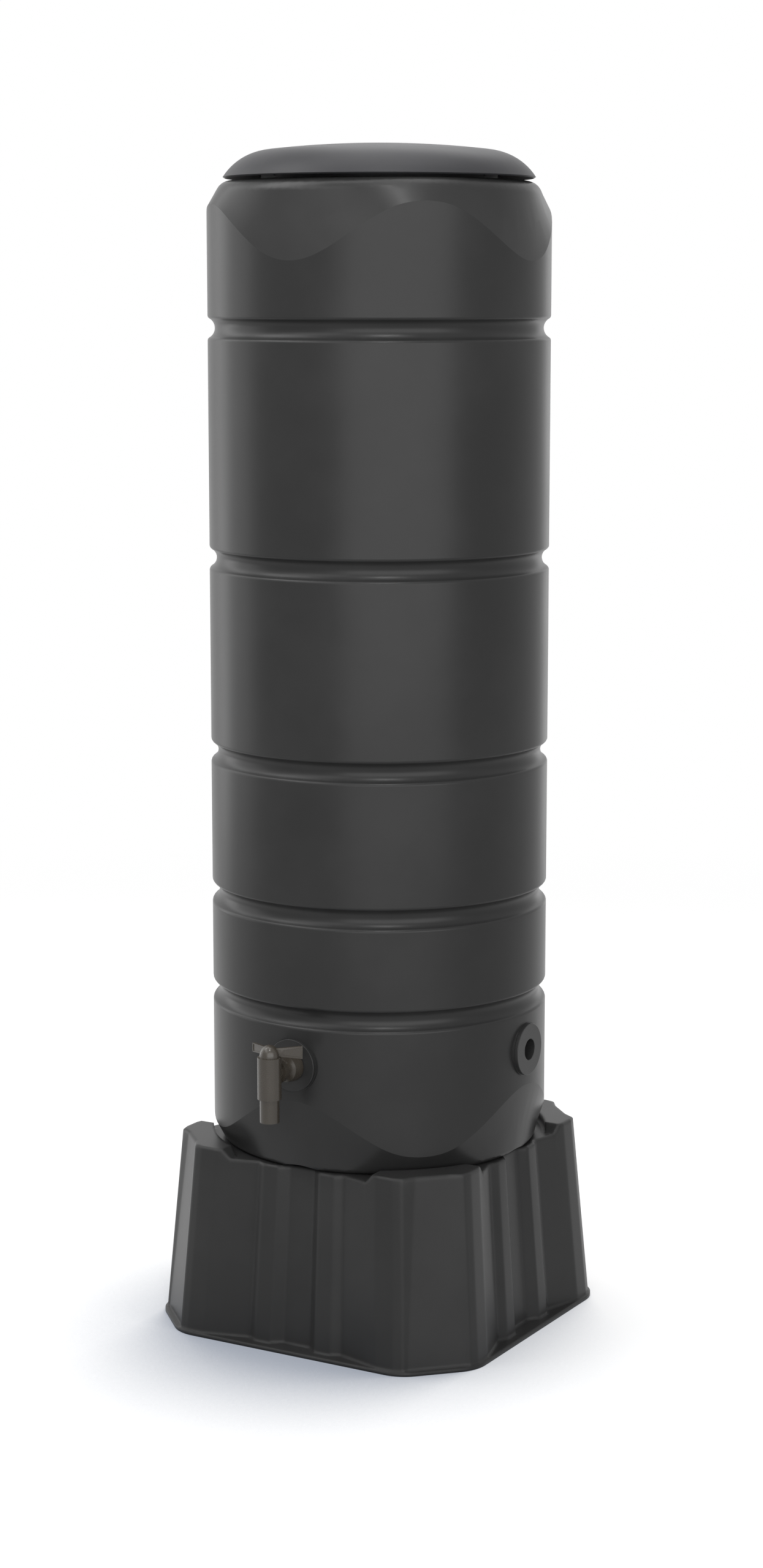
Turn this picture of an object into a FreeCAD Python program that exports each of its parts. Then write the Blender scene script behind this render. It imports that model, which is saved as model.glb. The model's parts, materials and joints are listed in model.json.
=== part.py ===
import FreeCAD, Part
import math
import os
import Sketcher
from FreeCAD import Placement, Rotation, Vector

# Rain barrel on a fluted stand. The origin is on the tank's axis in the plane the stand rests on,
# +Z is up, the tap faces -Y and the open port faces +X. All lengths are in millimetres, angles in degrees.

# Driving dimensions: alias, value, what it is
SIZES = [
    ("tank_radius", 190.0, "outside radius of the tank"),
    ("tank_height", 1079.0, "from the tank's foot to its flat top"),
    ("tank_wall", 3.0, "wall of the tank"),
    ("groove_level_1", 919.7, "height of the top groove above the tank's foot"),
    ("groove_level_2", 666.2, "second groove"),
    ("groove_level_3", 449.3, "third groove"),
    ("groove_level_4", 288.6, "fourth groove"),
    ("groove_level_5", 175.3, "lowest groove"),
    ("groove_depth", 8.0, "depth of each ring groove"),
    ("groove_radius", 12.0, "radius of a groove's hollow"),
    ("groove_rounding", 4.0, "rounding of a groove's lips"),
    ("top_scoop_depth", 87.0, "lowest point of the upper wave below the top"),
    ("top_lobe_depth", 25.0, "highest point of the upper wave below the top"),
    ("top_edge_radius", 174.0, "where the upper shoulders' faces would meet the flat top"),
    ("top_rounding", 17.5, "rounding between those faces and the top"),
    ("foot_scoop_height", 81.0, "highest point of the lower wave above the foot"),
    ("foot_lobe_height", 22.0, "lowest point of the lower wave above the foot"),
    ("foot_edge_radius", 178.0, "where the lower shoulders' faces would meet the foot"),
    ("foot_rounding", 8.0, "rounding between those faces and the foot"),
    ("foot_arch_width", 50.0, "width of the shallow arches in the foot"),
    ("foot_arch_height", 5.0, "height of those arches"),
    ("foot_arch_length", 70.0, "how far those arches reach in from the tank's radius"),
    ("neck_radius", 126.0, "outside radius of the filling neck"),
    ("neck_wall", 3.0, "wall of the neck"),
    ("neck_height", 22.0, "neck above the tank's flat top"),
    ("lid_wall", 2.5, "wall of the lid"),
    ("lid_rim_inset", 18.0, "lid rim inside the tank's radius"),
    ("lid_apex_height", 40.5, "lid's highest point above the tank's top"),
    ("lid_crown_radius", 1085.0, "radius of the lid's flat crown"),
    ("lid_crown_reach", 125.0, "distance from the axis where the crown ends"),
    ("lid_shoulder_radius", 65.1, "radius of the lid's shoulder"),
    ("lid_skirt_clearance", 1.5, "gap between the neck and the lid's skirt"),
    ("lid_rib_reach", 16.0, "how far the lid's ribs stand out from the skirt"),
    ("lid_rib_start", 4.0, "ribs above the skirt's lower edge"),
    ("lid_rib_toe", 1.0, "width of a rib at its lower end"),
    ("lid_rib_tip_low", 11.0, "lower corner of a rib's tip below the bend of the crown"),
    ("lid_rib_tip_high", 5.0, "upper corner of a rib's tip below the bend of the crown"),
    ("lid_rib_thickness", 2.0, "thickness of the lid's ribs"),
    ("lid_rib_count", 12, "ribs between skirt and crown"),
    ("stand_height", 206.0, "height of the deck the tank stands on"),
    ("stand_wall", 3.5, "wall of the stand"),
    ("stand_margin", 17.0, "foot flange outside the tank's radius"),
    ("flange_thickness", 4.0, "thickness of the foot flange"),
    ("flange_chamfer", 63.0, "what the flange's slanting corners cut from each side"),
    ("flange_rounding", 45.0, "rounding at both ends of a slanting corner"),
    ("flange_ledge", 4.0, "flange outside the corner columns"),
    ("stand_draft", 4.5, "lean of the columns' faces"),
    ("panel_recess", 18.0, "middle panel behind the columns' faces"),
    ("rib_recess", 8.2, "ribs behind the columns' faces"),
    ("valley_recess", 14.0, "valley beside each rib behind the columns' faces"),
    ("panel_half", 17.0, "half width of the middle panel"),
    ("rib_near", 29.0, "near edge of each rib from the face's middle"),
    ("rib_far", 49.0, "far edge of each rib from the face's middle"),
    ("valley_place", 60.0, "valley from the face's middle"),
    ("column_near", 112.0, "near edge of each corner column"),
    ("column_ridge", 134.0, "ridge of each corner column"),
    ("column_far", 146.0, "far edge of each corner column"),
    ("column_round", 3.0, "column's far edge behind its face"),
    ("facet_half_foot", 34.0, "half width of the corner facet at the foot"),
    ("facet_half_top", 18.5, "half width of the corner facet at the top"),
    ("facet_recess_foot", 1.5, "depth of the corner facet at the foot"),
    ("facet_recess_top", 3.5, "depth of the corner facet at the top"),
    ("flute_rounding", 4.0, "rounding of the stand's upright edges"),
    ("block_height", 10.0, "corner blocks above the deck"),
    ("block_start", 87.0, "where a block's sloping end leaves the deck, from the face's middle"),
    ("block_clearance", 1.5, "gap between the tank and the corner blocks"),
    ("rim_rounding", 3.0, "rounding of the deck's and blocks' outer edge"),
    ("deck_rib_depth", 15.0, "stiffening ribs below the deck"),
    ("deck_rib_pitch", 90.0, "spacing of those ribs"),
    ("port_height", 328.0, "height of both ports"),
    ("pad_radius", 30.5, "flat pads round the ports"),
    ("pad_proud", 0.4, "pads outside the tank's radius"),
    ("pad_depth", 5.6, "thickness of the tank wall at a pad"),
    ("gasket_thickness", 1.0, "port gaskets"),
    ("gasket_radius", 28.4, "outside radius of the port gaskets"),
    ("disc_radius", 29.2, "outside radius of the port discs"),
    ("disc_thickness", 2.8, "thickness of the port discs"),
    ("disc_edge", 0.6, "rounding of the port discs"),
    ("tube_radius", 16.5, "outside of the fittings' threaded tubes"),
    ("tube_clearance", 0.3, "gap between a tube and its hole in the tank"),
    ("thread_clearance", 0.06, "radial gap in the threaded fits"),
    ("port_bore", 12.06, "radius of the ports' 3/4 inch thread"),
    ("tube_end", 4.0, "tube past its nut"),
    ("nut_flats", 44.0, "nuts across flats"),
    ("nut_thickness", 9.0, "thickness of the nuts"),
    ("tap_reach", 43.8, "from the port's face to the tap barrel's axis"),
    ("tap_tail_length", 18.0, "tap's threaded tail inside the port"),
    ("tap_washer_thickness", 1.0, "washer behind the tap's bell"),
    ("tap_washer_radius", 15.8, "outside radius of that washer"),
    ("bell_radius", 17.0, "tap's bell at the port"),
    ("bell_front_radius", 15.2, "tap's bell at its front"),
    ("bell_length", 15.0, "length of the bell"),
    ("bell_nose", 2.0, "slope at the bell's front"),
    ("bell_band", 3.0, "straight band of the bell at the port"),
    ("tap_neck_radius", 9.8, "neck between bell and collar"),
    ("collar_radius", 13.4, "collar beside the barrel"),
    ("collar_place", 12.0, "collar's far face from the barrel's axis"),
    ("collar_length", 7.0, "length of the collar"),
    ("waterway_radius", 7.5, "waterway through the tap"),
    ("barrel_radius", 13.1, "outside of the tap's barrel"),
    ("barrel_bore", 11.0, "bore of the tap's barrel"),
    ("barrel_above", 18.5, "barrel above the port's axis"),
    ("barrel_below", 27.0, "barrel below the port's axis"),
    ("plug_clearance", 0.06, "radial gap between plug and barrel"),
    ("spout_radius", 10.75, "outside of the outlet spout"),
    ("spout_length", 26.0, "spout below the barrel"),
    ("window_radius", 7.0, "radius of the plug's window"),
    ("window_cover", 1.5, "plug's bore above its window"),
    ("head_band", 1.6, "straight band below the tap's domed head"),
    ("wing_start", 7.9, "wing's buried end from the barrel's axis"),
    ("wing_reach", 36.0, "wing's end from the barrel's axis"),
    ("wing_sweep", 30.0, "how far the wings sweep towards the tank"),
    ("wing_root_height", 8.4, "height of a wing at the head"),
    ("wing_end_height", 14.0, "height of a wing at its end"),
    ("wing_level", 6.4, "middle of the wings above the head's seam"),
    ("wing_thickness", 3.4, "thickness of a wing"),
    ("wing_border", 1.5, "raised border of a wing"),
    ("wing_recess", 0.6, "depth of a wing's recess"),
    ("seal_section", 1.0, "section radius of the ring seals"),
    ("seal_gap", 0.03, "gap between a seal and its groove or bore"),
    ("seal_place", 12.5, "ring seals above and below the port's axis"),
]

ALIASES = {alias for alias, value, note in SIZES}

FACES = 4
GROOVES = 5
DECK_RIBS = 3
WAVE_STEPS = 9
ARC_SECTIONS = 4
WAVE_PAST = 12.0
TOO_FAR = 80.0
OVERSHOOT = 2.0
SMALLEST_ROUNDING = 0.4
LEVEL_MATCH = 0.01
STEEPEST_SLOPE = 0.2

ARCH_RADIUS = "((foot_arch_width / 2) ^ 2 + foot_arch_height ^ 2) / (2 * foot_arch_height)"
TOP_JOINT = f"(top_scoop_depth + {WAVE_PAST})"
FOOT_JOINT = f"(foot_scoop_height + {WAVE_PAST})"
PAD_FACE = "(tank_radius + pad_proud)"
PORT_FACE = "(tank_radius + pad_proud + gasket_thickness + disc_thickness)"
# For each port: the turn that points Z outwards, the axis it lies on and its side of the tank
PORTS = {
    "tap": (Rotation(Vector(1, 0, 0), 90), "y", "-"),
    "side": (Rotation(Vector(0, 1, 0), 90), "x", ""),
}

doc = FreeCAD.newDocument("rain_barrel")
sizes = doc.addObject("Spreadsheet::Sheet", "sizes")
for row, (alias, value, note) in enumerate(SIZES, start=1):
    sizes.set(f"A{row}", str(value))
    sizes.set(f"B{row}", note)
    sizes.setAlias(f"A{row}", alias)
doc.recompute()


def number(expression):
    """The value of an expression on the sheet's cells."""
    result = sizes.evalExpression(str(expression))
    return float(getattr(result, "Value", result))


def bound(expression):
    """The same expression, as another object has to write it."""
    words = []
    word = ""
    for letter in str(expression) + " ":
        if letter.isalnum() or letter == "_":
            word += letter
            continue
        if word in ALIASES:
            word = "sizes." + word
        words.append(word + letter)
        word = ""
    return "".join(words).strip()


def bind(item, **expressions):
    """Bind properties of an object to expressions on the sheet."""
    for name, expression in expressions.items():
        item.setExpression(name.replace("__", "."), bound(expression))


def add(kind, name, **expressions):
    """Add a Part object and bind its sizes."""
    item = doc.addObject(kind, name)
    item.Label = name
    bind(item, **expressions)
    return item


def combine(kind, name, base, tool):
    """A cut or a common of two objects."""
    item = doc.addObject(kind, name)
    item.Base = base
    item.Tool = tool
    return item


def fuse(name, *items):
    item = doc.addObject("Part::MultiFuse", name)
    item.Shapes = list(items)
    return item


def new_body(name, **placement):
    body = doc.addObject("PartDesign::Body", name)
    body.Label = name
    bind(body, **placement)
    return body


def origin_plane(body, role):
    return next(feature for feature in body.Origin.OriginFeatures if feature.Role == role)


def outline(body, name, role, corners):
    """A closed sketch. Each corner is (x, y) or (x, y, radius) in expressions on the sheet; a radius makes
    the edge to the next corner an arc, bulging to the left of the way round when it is positive."""
    sketch = body.newObject("Sketcher::SketchObject", name)
    sketch.AttachmentSupport = (origin_plane(body, role), [""])
    sketch.MapMode = "FlatFace"
    points = [Vector(number(corner[0]), number(corner[1]), 0) for corner in corners]
    ends = []
    for index, corner in enumerate(corners):
        start = points[index]
        finish = points[(index + 1) % len(points)]
        if len(corner) == 2:
            sketch.addGeometry(Part.LineSegment(start, finish), False)
            ends.append((1, 2))
            continue
        ends.append(add_arc(sketch, start, finish, number(corner[2])))
    for index, corner in enumerate(corners):
        after = (index + 1) % len(corners)
        sketch.addConstraint(Sketcher.Constraint("Coincident", index, ends[index][1], after, ends[after][0]))
        pin_corner(sketch, index, ends[index][0], corner)
        if len(corner) == 3:
            radius = abs(number(corner[2]))
            place = sketch.addConstraint(Sketcher.Constraint("Radius", index, radius))
            sketch.setExpression(f"Constraints[{place}]", "abs(" + bound(corner[2]) + ")")
    return sketch


def add_arc(sketch, start, finish, radius):
    """An arc between two points; returns which of its ends is the start and which the finish."""
    chord = finish - start
    half = chord.Length / 2
    side = Vector(-chord.y, chord.x, 0).normalize()
    rise = math.sqrt(radius ** 2 - half ** 2)
    centre = (start + finish) * 0.5 - side * math.copysign(rise, radius)
    circle = Part.Circle(centre, Vector(0, 0, 1), abs(radius))
    first, last = (finish, start) if radius > 0 else (start, finish)
    sketch.addGeometry(Part.ArcOfCircle(circle, circle.parameter(first), circle.parameter(last)), False)
    return (2, 1) if radius > 0 else (1, 2)


def pin_corner(sketch, index, end, corner):
    """Hold a corner at its two expressions, or on an axis where one of them is 0."""
    for kind, axis, expression in (("DistanceX", -2, corner[0]), ("DistanceY", -1, corner[1])):
        if str(expression) == "0":
            sketch.addConstraint(Sketcher.Constraint("PointOnObject", index, end, axis))
            continue
        value = number(expression)
        place = sketch.addConstraint(Sketcher.Constraint(kind, -1, 1, index, end, value))
        sketch.setExpression(f"Constraints[{place}]", bound(expression))


def revolve(body, name, role, corners, axis="V_Axis", kind="PartDesign::Revolution"):
    sketch = outline(body, name + "_profile", role, corners)
    feature = body.newObject(kind, name)
    feature.Profile = sketch
    feature.ReferenceAxis = (sketch, [axis])
    feature.Angle = 360
    body.Tip = feature
    return feature


def ring(body, name, inner, outer, low, high, kind="PartDesign::Revolution"):
    """A turned ring between two radii and two heights; inner may be 0."""
    corners = [(inner, low), (outer, low), (outer, high), (inner, high)]
    return revolve(body, name, "XZ_Plane", corners, kind=kind)


def extrude(body, name, kind, sketch, length, both_ways=True):
    feature = body.newObject(kind, name)
    feature.Profile = sketch
    feature.setExpression("Length", bound(length))
    feature.Midplane = both_ways
    body.Tip = feature
    return feature


def round_edges(body, name, radius, test, kind="PartDesign::Fillet"):
    """Round, or chamfer, the edges of the body's last feature that pass a test."""
    doc.recompute()
    base = body.Tip
    names = [f"Edge{place}" for place, edge in enumerate(base.Shape.Edges, start=1) if test(edge)]
    feature = body.newObject(kind, name)
    feature.Base = (base, names)
    feature.setExpression("Radius" if kind == "PartDesign::Fillet" else "Size", bound(radius))
    body.Tip = feature
    return feature


def is_circle(edge, radius, height):
    """Whether an edge is a level circle of a radius at a height."""
    if not isinstance(edge.Curve, Part.Circle):
        return False
    same_radius = abs(edge.Curve.Radius - radius) < LEVEL_MATCH
    return same_radius and abs(edge.Curve.Center.z - height) < LEVEL_MATCH


# The tank: a grooved column, cut at both ends by a wave with one scoop for each face
def groove_side(level, side, inset):
    """One side of a ring groove: where its rounded lip leaves the wall and where it meets the hollow."""
    span = "(groove_radius + groove_rounding)"
    across = f"({span} - groove_depth)"
    reach = f"sqrt({span} ^ 2 - {across} ^ 2)"
    share = f"((groove_rounding - {inset}) / {span})"
    return [
        (f"tank_radius - {inset}", f"{level} + {side} * {reach}"),
        (f"tank_radius - groove_rounding + {across} * {share}",
         f"{level} + {side} * {reach} * (1 - {share})"),
    ]


def grooved_middle(name, inset):
    """The tank's straight column between its wave-cut ends, with its ring grooves, taken in by inset."""
    body = new_body(name, Placement__Base__z="stand_height")
    lip = f"-(groove_rounding - {inset})"
    hollow = f"(groove_radius + {inset})"
    corners = [("0", FOOT_JOINT), (f"tank_radius - {inset}", FOOT_JOINT)]
    for count in range(GROOVES, 0, -1):
        start, turn = groove_side(f"groove_level_{count}", "-1", inset)
        end, last_turn = groove_side(f"groove_level_{count}", "1", inset)
        corners += [(*start, lip), (*turn, hollow), (*last_turn, lip), end]
    high = f"tank_height - {TOP_JOINT}"
    corners += [(f"tank_radius - {inset}", high), ("0", high)]
    revolve(body, name + "_turned", "XZ_Plane", corners)
    return body


def meridian(depth, crease, edge, rounding, inset):
    """Radius of a shoulder at a depth below its end plane: a line that leans in from the crease towards
    the end's edge, then an arc into the end."""
    lean = math.atan((number("tank_radius") - edge) / crease)
    if depth >= rounding - (rounding - inset) * math.sin(lean):
        return edge + depth * math.tan(lean) - inset / math.cos(lean)
    tangent_radius = edge + rounding * (1 - math.sin(lean)) * math.tan(lean)
    across = (rounding - inset) ** 2 - (rounding - depth) ** 2
    return tangent_radius - rounding * math.cos(lean) + math.sqrt(max(across, 0.0))


def smooth_ring(level, radius_at):
    """A closed smooth curve round the axis at a level, its radius a function of the angle."""
    steps = FACES * WAVE_STEPS
    points = []
    for step in range(steps):
        angle = 2 * math.pi * step / steps
        radius = radius_at(angle)
        points.append(Vector(radius * math.cos(angle), radius * math.sin(angle), level))
    curve = Part.BSplineCurve()
    curve.interpolate(Points=points, PeriodicFlag=True)
    return Part.Wire([curve.toShape()])


def wave(name, end_level, way, creases, edge, rounding, inset):
    """What a wave-cut end leaves of the column, as a solid that starts at its end plane. The crease waves
    between its depths at a scoop, on each face, and at a lobe, on each corner."""
    scoop, lobe = creases

    def section(depth):
        def radius_at(angle):
            crease = (scoop + lobe) / 2 + (scoop - lobe) / 2 * math.cos(FACES * angle)
            return meridian(depth, crease, edge, rounding, inset)

        return smooth_ring(end_level - way * depth, radius_at)

    least_lean = math.degrees(math.atan((number("tank_radius") - edge) / scoop))
    turns = [90 - step * (90 - least_lean) / ARC_SECTIONS for step in range(ARC_SECTIONS + 1)]
    depths = [rounding - (rounding - inset) * math.sin(math.radians(turn)) for turn in turns]
    rounded = Part.makeLoft([section(depth) for depth in depths], True, False)
    leaning = Part.makeLoft([section(depths[-1]), section(scoop + 2 * WAVE_PAST)], True, True)
    item = doc.addObject("Part::Feature", name)
    item.Shape = rounded.fuse(leaning)
    return item


def wave_cut_end(name, low, high, form, inset):
    """One end of the column, cut by its wave."""
    block = add("Part::Cylinder", name + "_block", Radius=f"tank_radius - {inset}",
                Height=f"{high} - ({low})", Placement__Base__z=low)
    return combine("Part::Common", name, block, form)


def foot_arches(name, inset):
    """A shallow arch across the foot below each scoop."""
    arches = []
    for face in range(FACES):
        arch = add("Part::Cylinder", f"{name}_{face + 1}", Radius=f"{ARCH_RADIUS} + {inset}",
                   Height=f"foot_arch_length + {inset} + {OVERSHOOT}")
        turn = Rotation(Vector(0, 0, 1), face * 360 / FACES)
        start = number(f"tank_radius - foot_arch_length - {inset}")
        axis_level = number(f"stand_height + foot_arch_height - {ARCH_RADIUS}")
        arch.Placement = Placement(turn.multVec(Vector(start, 0, axis_level)),
                                   turn.multiply(Rotation(Vector(0, 1, 0), 90)))
        arches.append(arch)
    return fuse(name, *arches)


def vessel(name, inset):
    """The tank's outside, or its inside when it is taken in by the wall."""
    foot = number("stand_height")
    top = number("stand_height + tank_height")
    upper_crease = (number("top_scoop_depth"), number("top_lobe_depth"))
    upper_form = wave(name + "_upper_wave", top, 1, upper_crease, number("top_edge_radius"),
                      number("top_rounding"), number(inset))
    lower_crease = (number("foot_scoop_height"), number("foot_lobe_height"))
    lower_form = wave(name + "_lower_wave", foot, -1, lower_crease, number("foot_edge_radius"),
                      number("foot_rounding"), number(inset))
    upper = wave_cut_end(name + "_upper_end", f"stand_height + tank_height - {TOP_JOINT}",
                         f"stand_height + tank_height + {OVERSHOOT}", upper_form, inset)
    lower = wave_cut_end(name + "_lower_end", f"stand_height - {OVERSHOOT}",
                         f"stand_height + {FOOT_JOINT}", lower_form, inset)
    arched = combine("Part::Cut", name + "_arched_end", lower, foot_arches(name + "_arches", inset))
    return fuse(name, upper, grooved_middle(name + "_middle", inset), arched)


def at_port(item, port, distance):
    """Place an object on a port's axis at a distance from the tank's, its own Z pointing outwards."""
    turn, axis, sign = PORTS[port]
    item.Placement = Placement(Vector(0, 0, 0), turn)
    item.setExpression("Placement.Base." + axis, bound(f"{sign} ({distance})"))
    item.setExpression("Placement.Base.z", bound("port_height"))
    return item


def make_tank():
    shell = combine("Part::Cut", "tank_shell", vessel("tank_outside", "0"),
                    vessel("tank_inside", "tank_wall"))
    neck = add("Part::Cylinder", "tank_neck", Radius="neck_radius", Height="neck_height + tank_wall / 2",
               Placement__Base__z="stand_height + tank_height - tank_wall / 2")
    mouth = add("Part::Cylinder", "tank_mouth", Radius="neck_radius - neck_wall",
                Height=f"neck_height + 2 * tank_wall + {OVERSHOOT}",
                Placement__Base__z="stand_height + tank_height - 2 * tank_wall")
    pads = []
    holes = []
    for port in PORTS:
        pad = add("Part::Cylinder", port + "_pad", Radius="pad_radius", Height="pad_depth")
        pads.append(at_port(pad, port, f"{PAD_FACE} - pad_depth"))
        hole = add("Part::Cylinder", port + "_hole", Radius="tube_radius + tube_clearance",
                   Height=f"pad_depth + 2 * {OVERSHOOT}")
        holes.append(at_port(hole, port, f"{PAD_FACE} - pad_depth - {OVERSHOOT}"))
    walls = fuse("tank_walls", shell, neck, *pads)
    return combine("Part::Cut", "tank", walls, fuse("tank_openings", mouth, *holes))


# The lid: a shallow turned dome with a skirt over the neck and ribs between the two
def make_lid():
    body = new_body("lid", Placement__Base__z="stand_height + tank_height")
    crown_centre = "(lid_apex_height - lid_crown_radius)"
    bend_z = f"({crown_centre} + sqrt(lid_crown_radius ^ 2 - lid_crown_reach ^ 2))"
    share = "(lid_shoulder_radius / lid_crown_radius)"
    turn_x = f"(lid_crown_reach * (1 - {share}))"
    turn_z = f"({bend_z} - ({bend_z} - {crown_centre}) * {share})"
    rim = "(tank_radius - lid_rim_inset)"
    rim_z = f"({turn_z} + sqrt(lid_shoulder_radius ^ 2 - ({rim} - {turn_x}) ^ 2))"
    inner_crown = "(lid_crown_radius - lid_wall)"
    inner_turn = "(lid_shoulder_radius - lid_wall)"
    inner_bend_x = f"(lid_crown_reach * {inner_crown} / lid_crown_radius)"
    inner_bend_z = f"({crown_centre} + ({bend_z} - {crown_centre}) * {inner_crown} / lid_crown_radius)"
    inner_rim = f"({turn_x} + ({rim} - {turn_x}) * {inner_turn} / lid_shoulder_radius)"
    inner_rim_z = f"({turn_z} + ({rim_z} - {turn_z}) * {inner_turn} / lid_shoulder_radius)"
    revolve(body, "lid_dome", "XZ_Plane", [
        ("0", "lid_apex_height", "lid_crown_radius"),
        ("lid_crown_reach", bend_z, "lid_shoulder_radius"),
        (rim, rim_z),
        (inner_rim, inner_rim_z, "-(lid_shoulder_radius - lid_wall)"),
        (inner_bend_x, inner_bend_z, "-(lid_crown_radius - lid_wall)"),
        ("0", "lid_apex_height - lid_wall"),
    ])
    skirt_inside = "(neck_radius + lid_skirt_clearance)"
    skirt_outside = "(neck_radius + lid_skirt_clearance + lid_wall)"
    ring(body, "lid_skirt", skirt_inside, skirt_outside, "0", f"{inner_bend_z} - lid_wall / 2")
    sketch = outline(body, "lid_rib_profile", "XZ_Plane", [
        (f"{skirt_outside} - lid_wall / 2", "lid_rib_start"),
        (f"{skirt_outside} + lid_rib_toe", "lid_rib_start"),
        (f"{skirt_outside} + lid_rib_reach", f"{inner_bend_z} - lid_rib_tip_low"),
        (f"{skirt_outside} + lid_rib_reach", f"{inner_bend_z} - lid_rib_tip_high"),
        (f"{skirt_outside} - lid_wall / 2", f"{inner_bend_z} + lid_wall / 3"),
    ])
    rib = extrude(body, "lid_rib", "PartDesign::Pad", sketch, "lid_rib_thickness")
    pattern = body.newObject("PartDesign::PolarPattern", "lid_ribs")
    pattern.Originals = [rib]
    pattern.Axis = (origin_plane(body, "Z_Axis"), [""])
    pattern.Angle = 360
    pattern.setExpression("Occurrences", "sizes.lid_rib_count")
    body.Tip = pattern
    return body


# The stand: tapering fluted walls under a deck, with raised corner blocks and a foot flange
def face_points(level):
    """Half of one face's outline at a level, from the face's middle to its corner: along, outwards."""
    column = number("tank_radius + stand_margin - flange_ledge")
    shrink = 1 - level * math.tan(math.radians(number("stand_draft"))) / column
    rise = level / number("stand_height + block_height")
    points = [
        (number("panel_half"), column - number("panel_recess")),
        (number("rib_near"), column - number("rib_recess")),
        (number("rib_far"), column - number("rib_recess")),
        (number("valley_place"), column - number("valley_recess")),
        (number("column_near"), column),
        (number("column_ridge"), column),
        (number("column_far"), column - number("column_round")),
    ]
    chord = (number("column_far") + column - number("column_round")) / math.sqrt(2)
    half = number("facet_half_foot") + rise * number("facet_half_top - facet_half_foot")
    recess = number("facet_recess_foot") + rise * number("facet_recess_top - facet_recess_foot")
    outwards = chord * shrink - recess
    points = [(along * shrink, out * shrink) for along, out in points]
    points.append(((outwards - half) / math.sqrt(2), (outwards + half) / math.sqrt(2)))
    return points


def stand_corners(level):
    """All corners of the stand's outline at a level, in order round the axis."""
    half = face_points(level)
    face = [(-along, out) for along, out in reversed(half)] + half
    corners = []
    for count in range(FACES):
        turn = -2 * math.pi * count / FACES
        corners += [Vector(x * math.cos(turn) - y * math.sin(turn),
                           x * math.sin(turn) + y * math.cos(turn), 0) for x, y in face]
    return corners


def moved_in(corners, inset):
    """The outline's corners with every edge moved in by inset."""
    result = []
    for index, corner in enumerate(corners):
        before = (corner - corners[index - 1]).normalize()
        after = (corners[(index + 1) % len(corners)] - corner).normalize()
        inwards = Vector(before.y + after.y, -before.x - after.x, 0).normalize()
        lean = inwards.dot(Vector(after.y, -after.x, 0))
        result.append(corner + inwards * (inset / lean))
    return result


def rounded_wire(corners, level, inset):
    """A closed wire through the corners, each turned into an arc."""
    edges = []
    starts = []
    finishes = []
    middles = []
    for index, corner in enumerate(corners):
        before = (corners[index - 1] - corner).normalize()
        after = (corners[(index + 1) % len(corners)] - corner).normalize()
        outer_turn = before.cross(after).z > 0
        radius = max(number("flute_rounding") + (-inset if outer_turn else inset), SMALLEST_ROUNDING)
        half_angle = before.getAngle(after) / 2
        reach = radius / math.tan(half_angle)
        bisector = (before + after).normalize()
        starts.append(corner + before * reach)
        finishes.append(corner + after * reach)
        middles.append(corner + bisector * (radius / math.sin(half_angle) - radius))
    lift = Vector(0, 0, level)
    for index in range(len(corners)):
        edges.append(Part.Arc(starts[index] + lift, middles[index] + lift, finishes[index] + lift).toShape())
        follow = (index + 1) % len(corners)
        edges.append(Part.LineSegment(finishes[index] + lift, starts[follow] + lift).toShape())
    return Part.Wire(edges)


def fluted(name, low, high, inset):
    """The stand's tapering fluted form between two levels."""
    wires = [rounded_wire(moved_in(stand_corners(level), inset), level, inset) for level in (low, high)]
    item = doc.addObject("Part::Feature", name)
    item.Shape = Part.makeLoft(wires, True, True)
    return item


def deck_cutters(name, wall):
    """What leaves the deck flat between its corner blocks: a round seat and two crossing troughs."""
    base = f"stand_height - {wall}"
    seat = add("Part::Cylinder", name + "_seat", Radius=f"tank_radius + block_clearance + {wall}",
               Height=f"block_height + {wall} + {OVERSHOOT}", Placement__Base__z=base)
    troughs = []
    for count in range(2):
        trough = add("Part::Wedge", f"{name}_trough_{count + 1}")
        near = f"(block_start - {wall} + {wall} * sqrt(2))"
        rise = f"(block_height + {wall} + {OVERSHOOT})"
        far = f"(tank_radius + {TOO_FAR})"
        bind(trough, Xmin="-" + near, Xmax=near, Ymin="0", Ymax=rise, Zmin="-" + far, Zmax=far,
             X2min=f"-({near} + {rise})", X2max=f"{near} + {rise}", Z2min="-" + far, Z2max=far)
        turn = Rotation(Vector(0, 0, 1), 90 * count).multiply(Rotation(Vector(1, 0, 0), 90))
        trough.Placement = Placement(Vector(0, 0, 0), turn)
        trough.setExpression("Placement.Base.z", bound(base))
        troughs.append(trough)
    return fuse(name + "_cutters", seat, *troughs)


def make_stand():
    wall = number("stand_wall")
    top = number("stand_height + block_height")
    outside = combine("Part::Cut", "stand_outside", fluted("stand_flutes", 0, top, 0),
                      deck_cutters("deck", "0"))
    inner_flutes = fluted("stand_inner_flutes", -OVERSHOOT, top - wall, wall)
    inner_form = combine("Part::Cut", "stand_hollow", inner_flutes, deck_cutters("hollow", "stand_wall"))
    doc.recompute()
    rim = doc.addObject("Part::Fillet", "stand_rim")
    rim.Base = outside
    radius = number("rim_rounding")
    rim.Edges = [(place, radius, radius) for place in rim_edges(outside.Shape)]
    shell = combine("Part::Cut", "stand_shell", rim, inner_form)
    flange = make_flange(inner_form)
    ribs = make_deck_ribs(inner_form)
    return fuse("stand", shell, flange, ribs)


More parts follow.
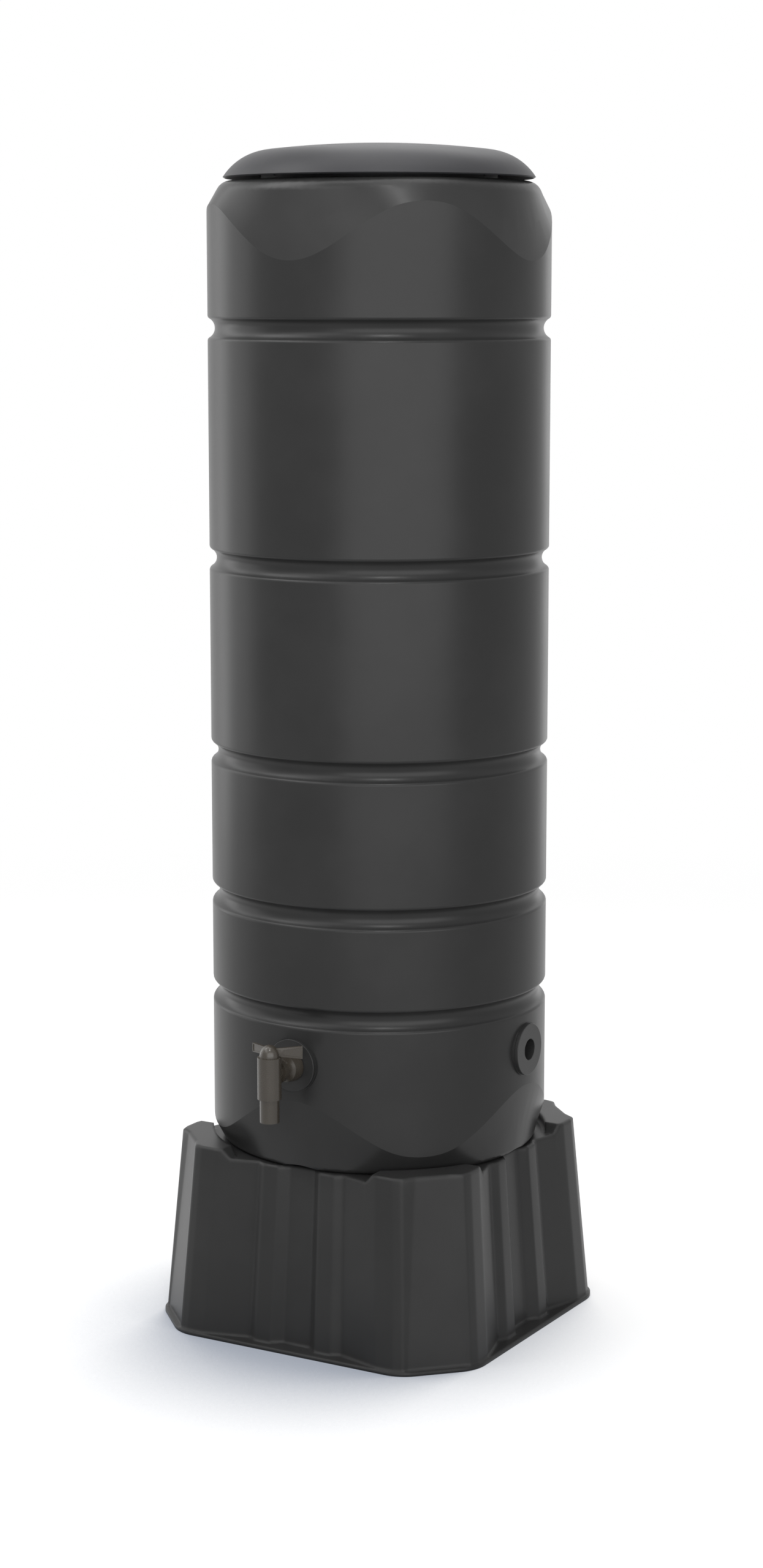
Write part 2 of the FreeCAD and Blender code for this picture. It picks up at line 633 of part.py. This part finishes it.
def rim_edges(shape):
    """Places of the edges where the outer walls meet the deck, the blocks and their sloping ends."""
    seat = number("tank_radius + block_clearance")
    deck = number("stand_height")
    places = []
    for place, edge in enumerate(shape.Edges, start=1):
        box = edge.BoundBox
        middle = edge.valueAt((edge.FirstParameter + edge.LastParameter) / 2)
        inner = abs(math.hypot(middle.x, middle.y) - seat) < LEVEL_MATCH
        if inner or box.ZMin < deck - LEVEL_MATCH:
            continue
        walls = shape.ancestorsOfType(edge, Part.Face)
        steep = [face for face in walls if abs(face.normalAt(*middle_of(face)).z) < STEEPEST_SLOPE]
        if len(steep) == 1:
            places.append(place)
    return places


def middle_of(face):
    low_u, high_u, low_v, high_v = face.ParameterRange
    return (low_u + high_u) / 2, (low_v + high_v) / 2


def make_flange(hollow):
    body = new_body("stand_flange_plate")
    half = "(tank_radius + stand_margin)"
    near = f"({half} - flange_chamfer)"
    sketch = outline(body, "flange_profile", "XY_Plane", [
        ("-" + near, "-" + half), (near, "-" + half), (half, "-" + near), (half, near),
        (near, half), ("-" + near, half), ("-" + half, near), ("-" + half, "-" + near)])
    extrude(body, "flange_pad", "PartDesign::Pad", sketch, "flange_thickness", both_ways=False)
    round_edges(body, "flange_corners", "flange_rounding",
                lambda edge: abs(edge.tangentAt(edge.FirstParameter).z) > 0.9)
    return combine("Part::Cut", "stand_flange", body, hollow)


def make_deck_ribs(hollow):
    """Stiffening ribs crossing below the deck."""
    plates = []
    for axis in ("x", "y"):
        for count in range(DECK_RIBS):
            plate = add("Part::Box", f"deck_rib_{axis}_{count + 1}",
                        Height="deck_rib_depth + stand_wall / 2")
            length = "2 * tank_radius"
            offset = f"{count - (DECK_RIBS - 1) / 2} * deck_rib_pitch - stand_wall / 2"
            if axis == "x":
                bind(plate, Length=length, Width="stand_wall", Placement__Base__x="-tank_radius",
                     Placement__Base__y=offset)
            else:
                bind(plate, Width=length, Length="stand_wall", Placement__Base__y="-tank_radius",
                     Placement__Base__x=offset)
            bind(plate, Placement__Base__z="stand_height - stand_wall - deck_rib_depth")
            plates.append(plate)
    grown = fluted("deck_rib_limit", -OVERSHOOT, number("stand_height - stand_wall / 2"),
                   number("stand_wall") / 2)
    return combine("Part::Common", "stand_deck_ribs", fuse("deck_rib_plates", *plates), grown)


# The port fittings: a disc with a threaded tube, a gasket outside the wall and a nut inside it
def make_fitting(port):
    disc_back = "gasket_thickness"
    tube_low = "-(pad_depth + nut_thickness + tube_end)"
    body = at_port(new_body(port + "_port_flange"), port, PAD_FACE)
    ring(body, port + "_tube", "port_bore", "tube_radius", tube_low, disc_back)
    ring(body, port + "_disc", "port_bore", "disc_radius", disc_back, "gasket_thickness + disc_thickness")
    disc_radius = number("disc_radius")
    face = number("gasket_thickness + disc_thickness")
    round_edges(body, port + "_disc_edge", "disc_edge",
                lambda edge: is_circle(edge, disc_radius, face))
    gasket = at_port(new_body(port + "_port_gasket"), port, PAD_FACE)
    ring(gasket, port + "_gasket_ring", "tube_radius + tube_clearance", "gasket_radius", "0", disc_back)
    nut = at_port(new_body(port + "_port_nut"), port, f"{PAD_FACE} - pad_depth - nut_thickness")
    corner = "(nut_flats / sqrt(3))"
    sketch = outline(nut, port + "_hexagon", "XY_Plane", [
        (f"{corner} / 2", "-nut_flats / 2"), (corner, "0"), (f"{corner} / 2", "nut_flats / 2"),
        (f"-{corner} / 2", "nut_flats / 2"), ("-" + corner, "0"), (f"-{corner} / 2", "-nut_flats / 2")])
    extrude(nut, port + "_nut_pad", "PartDesign::Pad", sketch, "nut_thickness", both_ways=False)
    ring(nut, port + "_nut_thread", "0", "tube_radius + thread_clearance", f"-{OVERSHOOT}",
         f"nut_thickness + {OVERSHOOT}", kind="PartDesign::Groove")
    return [body, gasket, nut]


# The tap: its origin is where the barrel's axis crosses the port's axis, and the port is towards +Y
def tap_body_at(name):
    body = new_body(name, Placement__Base__z="port_height")
    body.setExpression("Placement.Base.y", bound(f"-({PORT_FACE} + tap_reach)"))
    return body


def make_tap_body():
    body = tap_body_at("tap_body")
    ring(body, "tap_barrel", "0", "barrel_radius", "-barrel_below", "barrel_above")
    face = "(tap_reach - tap_washer_thickness)"
    bell_front = f"({face} - bell_length)"
    collar_front = "(collar_place + collar_length)"
    revolve(body, "tap_inlet", "YZ_Plane", [
        ("0", "0"),
        ("0", "tap_neck_radius"),
        ("collar_place", "tap_neck_radius"),
        ("collar_place", "collar_radius"),
        (collar_front, "collar_radius"),
        (collar_front, "tap_neck_radius"),
        (bell_front, "tap_neck_radius"),
        (f"{bell_front} + bell_nose", "bell_front_radius"),
        (f"{face} - bell_band", "bell_radius"),
        (face, "bell_radius"),
        (face, "port_bore - thread_clearance"),
        ("tap_reach + tap_tail_length", "port_bore - thread_clearance"),
        ("tap_reach + tap_tail_length", "0"),
    ], axis="H_Axis")
    tail_end = f"tap_reach + tap_tail_length + {OVERSHOOT}"
    revolve(body, "tap_waterway", "YZ_Plane", [
        ("0", "0"), ("0", "waterway_radius"), (tail_end, "waterway_radius"), (tail_end, "0")],
        axis="H_Axis", kind="PartDesign::Groove")
    ring(body, "tap_bore", "0", "barrel_bore", f"-barrel_below - {OVERSHOOT}",
         f"barrel_above + {OVERSHOOT}", kind="PartDesign::Groove")
    return body


def make_tap_washer():
    body = at_port(new_body("tap_washer"), "tap", PORT_FACE)
    ring(body, "washer_ring", "port_bore", "tap_washer_radius", "0", "tap_washer_thickness")
    return body


def make_tap_plug():
    body = tap_body_at("tap_plug")
    plug = "(barrel_bore - plug_clearance)"
    seam = "barrel_above"
    groove_floor = f"({plug} + plug_clearance - 2 * seal_section - 2 * seal_gap)"
    bottom = "-(barrel_below + spout_length)"
    step = "-barrel_below"
    corners = [("0", bottom), ("spout_radius", bottom), ("spout_radius", step), (plug, step)]
    for side in (-1, 1):
        place = f"({side} * seal_place)"
        half = "(seal_section + seal_gap)"
        corners += [(plug, f"{place} - {half}"), (groove_floor, f"{place} - {half}"),
                    (groove_floor, f"{place} + {half}"), (plug, f"{place} + {half}")]
    corners += [(plug, seam), ("barrel_radius", seam),
                ("barrel_radius", f"{seam} + head_band", "-barrel_radius"),
                ("0", f"{seam} + head_band + barrel_radius")]
    revolve(body, "plug_turned", "XZ_Plane", corners)
    ring(body, "plug_waterway", "0", "waterway_radius", f"{bottom} - {OVERSHOOT}",
         "window_radius + window_cover", kind="PartDesign::Groove")
    window = body.newObject("Sketcher::SketchObject", "plug_window_profile")
    window.AttachmentSupport = (origin_plane(body, "YZ_Plane"), [""])
    window.MapMode = "FlatFace"
    window.addGeometry(Part.Circle(Vector(0, 0, 0), Vector(0, 0, 1), number("window_radius")), False)
    window.addConstraint(Sketcher.Constraint("Coincident", 0, 3, -1, 1))
    window.addConstraint(Sketcher.Constraint("Radius", 0, number("window_radius")))
    window.setExpression("Constraints[1]", bound("window_radius"))
    cut = extrude(body, "plug_window", "PartDesign::Pocket", window, "barrel_radius", both_ways=False)
    cut.Reversed = True
    return body


def add_wings(body):
    """Two flat wings from the head, swept towards the tank, each with a bordered recess in front."""
    level = "(barrel_above + wing_level)"
    turn = Rotation(Vector(0, 1, 0), number("wing_sweep"))

    def wing_outline(name, start, finish, border, forward):
        sketch = outline(body, name, "XZ_Plane", [
            (start, f"{level} - wing_root_height / 2 + {border}"),
            (finish, f"{level} - wing_end_height / 2 + {border}"),
            (finish, f"{level} + wing_end_height / 2 - {border}"),
            (start, f"{level} + wing_root_height / 2 - {border}")])
        sketch.AttachmentOffset = Placement(turn.multVec(Vector(0, 0, forward)), turn)
        return sketch

    front = number("wing_thickness / 2")
    plate = wing_outline("wing_profile", "wing_start", "wing_reach", "0", 0)
    wing = extrude(body, "wing", "PartDesign::Pad", plate, "wing_thickness")
    recess = wing_outline("wing_recess_profile", "(barrel_radius + wing_border)",
                          "(wing_reach - wing_border)", "wing_border", front)
    pocket = extrude(body, "wing_recess_cut", "PartDesign::Pocket", recess, "wing_recess", both_ways=False)
    pair = body.newObject("PartDesign::Mirrored", "wing_pair")
    pair.Originals = [wing, pocket]
    pair.MirrorPlane = (origin_plane(body, "YZ_Plane"), [""])
    body.Tip = pair


def make_seal(name, side):
    """A ring seal in the plug's groove."""
    centre = "(barrel_bore - seal_gap - seal_section)"
    seal = add("Part::Torus", name, Radius1=centre, Radius2="seal_section",
               Placement__Base__y=f"-({PORT_FACE} + tap_reach)",
               Placement__Base__z=f"port_height + {side} * seal_place")
    return seal


pieces = [make_tank(), make_lid(), make_stand()]
for port in PORTS:
    pieces += make_fitting(port)
pieces += [make_tap_body(), make_tap_washer()]
plug = make_tap_plug()
add_wings(plug)
pieces.append(plug)
pieces += [make_seal("tap_upper_seal", 1), make_seal("tap_lower_seal", -1)]
doc.recompute()

for item in doc.Objects:
    faults = [state for state in item.State if state in ("Invalid", "Error")]
    if faults:
        raise RuntimeError(f"{item.Name} is {faults[0]}")

os.makedirs("parts", exist_ok=True)
for piece in pieces:
    shape = piece.Shape
    if shape.isNull() or not shape.isValid():
        raise RuntimeError(f"{piece.Name} has no valid shape")
    shape.exportStep(f"parts/{piece.Name}.step")
    print(piece.Name, len(shape.Solids), round(shape.Volume / 1000, 2), shape.BoundBox)
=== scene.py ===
import json
import math

import bmesh
import bpy
from mathutils import Matrix, Vector


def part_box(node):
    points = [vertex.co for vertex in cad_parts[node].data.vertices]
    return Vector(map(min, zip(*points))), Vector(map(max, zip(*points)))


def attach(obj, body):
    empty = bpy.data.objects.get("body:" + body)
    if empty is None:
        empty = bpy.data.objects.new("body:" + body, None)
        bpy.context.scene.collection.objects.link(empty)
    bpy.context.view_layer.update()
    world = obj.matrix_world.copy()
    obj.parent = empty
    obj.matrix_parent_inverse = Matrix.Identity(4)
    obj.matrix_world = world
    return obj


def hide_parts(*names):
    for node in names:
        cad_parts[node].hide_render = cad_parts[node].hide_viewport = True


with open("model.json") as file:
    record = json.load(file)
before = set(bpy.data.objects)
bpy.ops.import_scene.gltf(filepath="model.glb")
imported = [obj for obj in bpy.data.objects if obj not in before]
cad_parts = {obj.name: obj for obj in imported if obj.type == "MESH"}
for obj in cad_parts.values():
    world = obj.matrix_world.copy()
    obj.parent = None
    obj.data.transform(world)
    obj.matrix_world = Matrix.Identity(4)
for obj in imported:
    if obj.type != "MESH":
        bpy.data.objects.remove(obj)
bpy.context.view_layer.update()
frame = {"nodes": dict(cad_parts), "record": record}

# The CAD nodes, by name
nodes = frame["nodes"]

# Camera: where the photograph was taken from, in metres, and in degrees round the tank's axis
CAMERA_DISTANCE = 3.382
CAMERA_HEIGHT = 1.176
CAMERA_AZIMUTH = 30.0
CAMERA_DROP = 9.45
CAMERA_SIDESTEP = -0.0024
CAMERA_REACH = 40.0
PHOTO_HEIGHT = 2560
FOCAL_PIXELS = 4927
SENSOR = 36.0

# Places taken from the frame
tank_low, tank_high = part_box("tank")
seam_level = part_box("tap_body")[1].z
seal_low, seal_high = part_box("tap_upper_seal")
tap_axis = (seal_low + seal_high) / 2

# Edges that turn by more than this many degrees stay sharp
SHARP_EDGE = 28.0
MERGE_DISTANCE = 0.00001

# The tank's wave creases are blunt, so they are known by where they run: on the wall, near the two ends
WAVE_CREASE = 7.0
WALL_MARGIN = 0.0006
CREASE_NEAREST = 0.015
CREASE_FURTHEST = 0.112

# The tap's head stands on a low ledge, narrower than the barrel under it
LEDGE_HEIGHT = 0.0009
LEDGE_SLOPE = 0.0003
HEAD_REACH = 0.0134
HEAD_SHARE = 0.82

# Its left wing is slimmer and lower towards the end than the right one
WING_END = 0.036
WING_MIDDLE = 0.0064
WING_SLIMMER = 0.3
WING_LOWER = 0.002

# The port gaskets end a little inside their discs, where they hardly show
GASKET_RIM = 0.022
GASKET_SHARE = 0.93

# A port's disc ends in a rim that meets the tank's round wall
DISC_RIM = 0.029
DISC_BACK = 0.0015
RIM_SINK = 0.0002

# Every plastic's flow clouds and grain, and how much each of them changes the gloss
CLOUD_SCALE = 9.0
CLOUD_DETAIL = 3.0
CLOUD_ROUGHNESS = 0.55
CLOUD_START = 0.35
CLOUD_END = 0.75
CLOUD_GLOSS = 0.08
GRAIN_DETAIL = 2.0
GRAIN_ROUGHNESS = 0.6
GRAIN_GLOSS = 0.06
NOISE_MIDDLE = 0.5
GLOSSIEST = 0.05
EDGE_SAMPLES = 6

# Colours are as they look on the screen, 0 to 255; lengths are in metres
PLASTICS = {
    "tank_plastic": {
        "base": (38, 38, 38), "worn": (42, 42, 42), "grain_scale": 1400.0, "grain_depth": 0.00003,
        "roughness": 0.32, "specular": 0.16,
    },
    "stand_plastic": {
        "base": (38, 38, 38), "worn": (42, 42, 42), "grain_scale": 1100.0, "grain_depth": 0.00004,
        "roughness": 0.32, "specular": 0.16, "rounding": 0.006,
    },
    "lid_plastic": {
        "base": (45, 45, 47), "worn": (49, 49, 51), "grain_scale": 1500.0, "grain_depth": 0.00003,
        "roughness": 0.42, "specular": 0.14,
    },
    "fitting_plastic": {
        "base": (38, 38, 38), "worn": (42, 42, 42), "grain_scale": 1500.0, "grain_depth": 0.00002,
        "roughness": 0.34, "specular": 0.2, "rounding": 0.0008,
    },
    "tap_plastic": {
        "base": (51, 47, 41), "worn": (58, 53, 47), "grain_scale": 1600.0, "grain_depth": 0.00002,
        "roughness": 0.27, "specular": 0.36,
    },
    "seal_rubber": {
        "base": (17, 17, 17), "worn": (23, 23, 23), "grain_scale": 2000.0, "grain_depth": 0.00002,
        "roughness": 0.6, "specular": 0.4,
    },
}

# The floor: near the stand a shadow is painted into its colour and glow, by an occlusion test that leans to
# one side, and further out it turns to plain white
FLOOR_RADIUS = 9.0
FLOOR_SIDES = 64
FLOOR_NEAR = 1.2
FLOOR_FAR = 3.0
SHADOW_REACH = 0.43
SHADOW_LEAN = Vector((math.cos(math.radians(88)), math.sin(math.radians(88))))
SHADOW_DARKEST = 0.3
SHADOW_SAMPLES = 16
# Painted shadow: the floor's colour and glow turn from FLOOR_COLOUR and GLOW_COLOUR to the darker, bluer
# SHADE_COLOUR and GLOW_SHADE near the stand
FLOOR_COLOUR = (0.4, 0.4, 0.4, 1.0)
SHADE_COLOUR = (0.15, 0.16, 0.185, 1.0)
GLOW_COLOUR = (1.0, 1.0, 1.0, 1.0)
GLOW_SHADE = (0.25, 0.275, 0.32, 1.0)
FLOOR_GLOW = 0.72
FILL_STRENGTH = 0.1

# Softboxes: distance from the tank's axis, degrees round from the camera, height, width, length, watts
AIM_HEIGHT = 0.65
LAMPS = {
    "key": (3.6, 12, 1.2, 5.4, 2.8, 144.0),
    "left_side": (2.6, -100, 1.3, 0.9, 2.6, 11.0),
    "left_back": (2.6, -125, 1.3, 0.9, 2.6, 14.0),
    "right_rim": (2.6, 150, 0.9, 0.6, 2.0, 2.5),
    "top": (0.0, 0, 3.6, 2.0, 2.0, 36.0),
    "top_left": (1.8, -90, 3.1, 1.4, 1.4, 34.0),
    "top_front": (1.8, 5, 3.3, 0.5, 0.5, 28.0),
    "top_back": (1.8, 170, 3.1, 1.4, 1.4, 12.0),
    "upper_left": (3.0, -50, 3.2, 2.6, 1.5, 36.0),
}


class Value:
    """A shader socket that works in Python expressions."""

    def __init__(self, shader, socket):
        self.shader = shader
        self.socket = socket

    def maths(self, operation, first, second):
        return self.shader.maths(operation, first, second)

    def __add__(self, other):
        return self.maths("ADD", self, other)

    def __radd__(self, other):
        return self.maths("ADD", other, self)

    def __sub__(self, other):
        return self.maths("SUBTRACT", self, other)

    def __rsub__(self, other):
        return self.maths("SUBTRACT", other, self)

    def __mul__(self, other):
        return self.maths("MULTIPLY", self, other)

    def __rmul__(self, other):
        return self.maths("MULTIPLY", other, self)

    def clamped(self, low, high):
        return self.maths("MAXIMUM", self.maths("MINIMUM", self, high), low)

    def smooth(self, start, end):
        """0 below start, 1 above end, and a smooth step between."""
        inputs = {"Value": self, "From Min": start, "From Max": end}
        return self.shader.node("ShaderNodeMapRange", {"interpolation_type": "SMOOTHSTEP"}, inputs)


class Shader:
    """One material's node tree and the calls that add to it."""

    def __init__(self, name):
        self.material = bpy.data.materials.new(name)
        self.material.use_nodes = True
        self.start(self.material.node_tree, "ShaderNodeOutputMaterial")

    @classmethod
    def on(cls, tree, output):
        """The same calls for a tree that isn't a material's."""
        shader = cls.__new__(cls)
        shader.material = None
        shader.start(tree, output)
        return shader

    def start(self, tree, output):
        self.tree = tree
        self.tree.nodes.clear()
        self.end = self.tree.nodes.new(output)

    def node(self, kind, settings=None, inputs=None, output=0):
        made = self.tree.nodes.new(kind)
        for key, setting in (settings or {}).items():
            setattr(made, key, setting)
        for key, value in (inputs or {}).items():
            if isinstance(value, Value):
                self.tree.links.new(value.socket, made.inputs[key])
            else:
                made.inputs[key].default_value = value
        return Value(self, made.outputs[output])

    def maths(self, operation, first, second):
        return self.node("ShaderNodeMath", {"operation": operation}, {0: first, 1: second})

    def place(self):
        """The point on the object, in metres in the frame."""
        return self.node("ShaderNodeTexCoord", output="Object")

    def noise(self, point, scale, detail, roughness):
        inputs = {"Vector": point, "Scale": scale, "Detail": detail, "Roughness": roughness}
        return self.node("ShaderNodeTexNoise", inputs=inputs)

    def blend(self, first, second, factor):
        """A colour between two colours."""
        inputs = {0: factor, 6: first, 7: second}
        return self.node("ShaderNodeMix", {"data_type": "RGBA"}, inputs, output=2)

    def seen(self):
        """1 for rays from the camera, in reflections and through clear things."""
        rays = self.tree.nodes.new("ShaderNodeLightPath")
        camera, glossy, clear = (Value(self, rays.outputs[f"Is {kind} Ray"])
                                 for kind in ("Camera", "Glossy", "Transmission"))
        return self.maths("MAXIMUM", self.maths("MAXIMUM", camera, glossy), clear)

    def bump(self, height, distance, rounding):
        """Small relief, over edges that look rounded to a radius where one is given."""
        inputs = {"Height": height, "Distance": distance}
        if rounding:
            inputs["Normal"] = self.node("ShaderNodeBevel", {"samples": EDGE_SAMPLES}, {"Radius": rounding})
        return self.node("ShaderNodeBump", inputs=inputs)

    def finish(self, surface):
        self.tree.links.new(surface.socket, self.end.inputs["Surface"])
        return self.material


def linear(colour):
    """A colour on the screen, 0 to 255, as a shader's socket takes it, by the sRGB curve."""
    values = []
    for part in colour:
        share = part / 255
        values.append(share / 12.92 if share <= 0.04045 else ((share + 0.055) / 1.055) ** 2.4)
    return (*values, 1.0)


def moulded_plastic(name, base, worn, grain_scale, grain_depth, roughness, specular, rounding=0.0):
    """Satin moulded plastic: fine grain, faint flow clouds, uneven gloss and softly rounded edges."""
    shader = Shader(name)
    place = shader.place()
    clouds = shader.noise(place, CLOUD_SCALE, CLOUD_DETAIL, CLOUD_ROUGHNESS)
    grain = shader.noise(place, grain_scale, GRAIN_DETAIL, GRAIN_ROUGHNESS)
    colour = shader.blend(linear(base), linear(worn), clouds.smooth(CLOUD_START, CLOUD_END))
    gloss = roughness + (clouds - NOISE_MIDDLE) * CLOUD_GLOSS + (grain - NOISE_MIDDLE) * GRAIN_GLOSS
    surface = shader.node("ShaderNodeBsdfPrincipled", inputs={
        "Base Color": colour,
        "Roughness": gloss.clamped(GLOSSIEST, 1.0),
        "Specular IOR Level": specular,
        "Normal": shader.bump(grain, grain_depth, rounding),
    })
    return shader.finish(surface)


def on_wave_crease(edge):
    """True for an edge on the tank's wall where a wave of its shoulder or foot starts."""
    for corner in edge.verts:
        from_end = min(corner.co.z - tank_low.z, tank_high.z - corner.co.z)
        if not CREASE_NEAREST < from_end < CREASE_FURTHEST:
            return False
        if corner.co.xy.length < tank_high.x - WALL_MARGIN:
            return False
    return True


def from_tap_axis(corner):
    return (corner.co.xy - tap_axis.xy).length


def narrow_head(work):
    """Draws the tap's dome in above a ledge on the barrel's rim."""
    ledge = seam_level + LEDGE_HEIGHT
    for level in (ledge, ledge + LEDGE_SLOPE):
        faces = [face for face in work.faces
                 if all(from_tap_axis(corner) < HEAD_REACH for corner in face.verts)]
        parts = {part for face in faces for part in (face, *face.edges, *face.verts)}
        bmesh.ops.bisect_plane(work, geom=list(parts), plane_co=(0, 0, level), plane_no=(0, 0, 1))
    dome = [corner for corner in work.verts
            if from_tap_axis(corner) < HEAD_REACH and corner.co.z > ledge + LEDGE_SLOPE / 2]
    bmesh.ops.scale(work, verts=dome, vec=(HEAD_SHARE, HEAD_SHARE, 1), space=Matrix.Translation(-tap_axis))


def slim_left_wing(work):
    """Makes the tap's left wing slimmer and lower, more so towards its end."""
    middle_level = seam_level + WING_MIDDLE
    for corner in work.verts:
        reach = from_tap_axis(corner)
        above_ledge = corner.co.z > seam_level + LEDGE_HEIGHT
        if reach > HEAD_REACH and corner.co.x < tap_axis.x and above_ledge:
            share = (reach - HEAD_REACH) / (WING_END - HEAD_REACH)
            height = (corner.co.z - middle_level) * (1 - WING_SLIMMER * share)
            corner.co.z = middle_level + height - WING_LOWER * share


def port_piece(work):
    """The middle of a round piece on a port, which way its axis runs and how far out it reaches."""
    low = Vector([min(corner.co[i] for corner in work.verts) for i in range(3)])
    high = Vector([max(corner.co[i] for corner in work.verts) for i in range(3)])
    along = min(range(3), key=lambda i: high[i] - low[i])
    return (low + high) / 2, along, max(abs(low[along]), abs(high[along]))


def outside(work, radius, middle, along):
    """The corners of a piece that lie further than a radius from its port's axis."""
    return [corner for corner in work.verts
            if Vector([corner.co[i] - middle[i] for i in range(3) if i != along]).length > radius]


def draw_in_gasket(work):
    """Draws a gasket's outer edge in towards its port's axis."""
    middle, along, front = port_piece(work)
    share = [1 if i == along else GASKET_SHARE for i in range(3)]
    rim = outside(work, GASKET_RIM, middle, along)
    bmesh.ops.scale(work, verts=rim, vec=share, space=Matrix.Translation(-middle))


def close_disc(work):
    """Brings the back edge of a port's disc down to the tank's wall."""
    middle, along, front = port_piece(work)
    across = 1 - along
    for corner in outside(work, DISC_RIM, middle, along):
        if abs(corner.co[along]) < front - DISC_BACK:
            wall = math.sqrt(tank_high.x ** 2 - corner.co[across] ** 2) - RIM_SINK
            corner.co[along] = math.copysign(wall, corner.co[along])


reshaping = {
    "tap_plug": (narrow_head, slim_left_wing),
    "tap_port_gasket": (draw_in_gasket,),
    "side_port_gasket": (draw_in_gasket,),
    "tap_port_flange": (close_disc,),
    "side_port_flange": (close_disc,),
}
materials = {name: moulded_plastic(name, **looks) for name, looks in PLASTICS.items()}


def smooth_copy(node, body, slot):
    """A merged copy of a CAD node with smooth shading, shown in the node's place."""
    source = nodes[node]
    piece = bpy.data.objects.new(node + "_moulded", source.data.copy())
    bpy.context.scene.collection.objects.link(piece)
    work = bmesh.new()
    work.from_mesh(piece.data)
    bmesh.ops.remove_doubles(work, verts=work.verts, dist=MERGE_DISTANCE)
    bmesh.ops.dissolve_degenerate(work, edges=work.edges, dist=MERGE_DISTANCE)
    for reshape in reshaping.get(node, ()):
        reshape(work)
    for face in work.faces:
        face.smooth = True
    for edge in work.edges:
        sharp = WAVE_CREASE if node == "tank" and on_wave_crease(edge) else SHARP_EDGE
        edge.smooth = len(edge.link_faces) == 2 and edge.calc_face_angle() < math.radians(sharp)
    work.to_mesh(piece.data)
    work.free()
    weighted = piece.modifiers.new("weighted_normals", "WEIGHTED_NORMAL")
    weighted.keep_sharp = True
    weighted.mode = "FACE_AREA_WITH_ANGLE"
    piece.data.materials.clear()
    piece.data.materials.append(materials[slot])
    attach(piece, body)
    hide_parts(node)


slots = {row["node"]: row["material_slot"] for row in frame["record"]["subparts"]}
for body, members in frame["record"]["behaviour"]["bodies"].items():
    for member in members:
        smooth_copy(member, body, slots[member])


def make_floor():
    """The floor the stand rests on, white to the camera, with the lamps' shadows and a soft shadow painted
    into its colour and glow.
    """
    work = bmesh.new()
    bmesh.ops.create_circle(work, cap_ends=True, segments=FLOOR_SIDES, radius=FLOOR_RADIUS)
    mesh = bpy.data.meshes.new("floor")
    work.to_mesh(mesh)
    work.free()
    floor = bpy.data.objects.new("floor", mesh)
    bpy.context.scene.collection.objects.link(floor)
    shader = Shader("floor_white")
    # The painted shadow: an occlusion test, leaning to one side, darkens the floor's colour and glow where
    # the stand is near
    sky = shader.node("ShaderNodeCombineXYZ", inputs={"X": SHADOW_LEAN.x, "Y": SHADOW_LEAN.y, "Z": 1.0})
    open_sky = shader.node("ShaderNodeAmbientOcclusion", {"samples": SHADOW_SAMPLES},
                           {"Distance": SHADOW_REACH, "Normal": sky}, output="AO")
    clear = open_sky.smooth(SHADOW_DARKEST, 1.0)
    far = shader.node("ShaderNodeVectorMath", {"operation": "LENGTH"}, {0: shader.place()}, output="Value")
    seen = shader.seen()
    shade = shader.node("ShaderNodeBsdfDiffuse", inputs={
        "Color": shader.blend(SHADE_COLOUR, FLOOR_COLOUR, clear)})
    glow = shader.node("ShaderNodeEmission", inputs={
        "Color": shader.blend(GLOW_SHADE, GLOW_COLOUR, clear), "Strength": seen * FLOOR_GLOW})
    near_floor = shader.node("ShaderNodeAddShader", inputs={0: shade, 1: glow})
    white = shader.node("ShaderNodeEmission", inputs={"Color": GLOW_COLOUR, "Strength": 1.0})
    surface = shader.node("ShaderNodeMixShader", inputs={
        0: far.smooth(FLOOR_NEAR, FLOOR_FAR) * seen, 1: near_floor, 2: white})
    floor.data.materials.append(shader.finish(surface))


def make_world():
    """White to the camera and in reflections, and an even soft fill for everything else."""
    world = bpy.data.worlds.new("studio")
    bpy.context.scene.world = world
    world.use_nodes = True
    shader = Shader.on(world.node_tree, "ShaderNodeOutputWorld")
    fill = shader.node("ShaderNodeBackground", inputs={"Color": GLOW_COLOUR, "Strength": FILL_STRENGTH})
    white = shader.node("ShaderNodeBackground", inputs={"Color": GLOW_COLOUR, "Strength": 1.0})
    shader.finish(shader.node("ShaderNodeMixShader", inputs={0: shader.seen(), 1: fill, 2: white}))


def around(distance, azimuth, height):
    """A point round the tank's axis, azimuth 0 in front of the tap and 90 on the open port's side."""
    turn = math.radians(azimuth)
    return Vector((distance * math.sin(turn), -distance * math.cos(turn), height))


def soft_lamp(name, place, target, width, length, power):
    """A softbox at a place, facing a target."""
    lamp = bpy.data.lights.new(name, "AREA")
    lamp.shape = "RECTANGLE"
    lamp.size = width
    lamp.size_y = length
    lamp.energy = power
    item = bpy.data.objects.new(name, lamp)
    item.location = place
    item.rotation_euler = (target - place).to_track_quat("-Z", "Y").to_euler()
    bpy.context.scene.collection.objects.link(item)


def make_camera():
    camera = bpy.data.cameras.new("camera")
    camera.sensor_width = SENSOR
    camera.lens = FOCAL_PIXELS * SENSOR / PHOTO_HEIGHT
    camera.clip_end = CAMERA_REACH
    item = bpy.data.objects.new("camera", camera)
    turn = math.radians(CAMERA_AZIMUTH)
    right = Vector((math.cos(turn), math.sin(turn), 0.0))
    item.location = around(CAMERA_DISTANCE, CAMERA_AZIMUTH, CAMERA_HEIGHT) - right * CAMERA_SIDESTEP
    item.rotation_euler = (math.radians(90 - CAMERA_DROP), 0.0, turn)
    bpy.context.scene.collection.objects.link(item)
    bpy.context.scene.camera = item


make_floor()
make_world()
aim = Vector((0.0, 0.0, AIM_HEIGHT))
for name, (distance, turned, height, width, length, power) in LAMPS.items():
    soft_lamp(name, around(distance, CAMERA_AZIMUTH + turned, height), aim, width, length, power)
make_camera()
bpy.context.scene.view_settings.view_transform = "Standard"
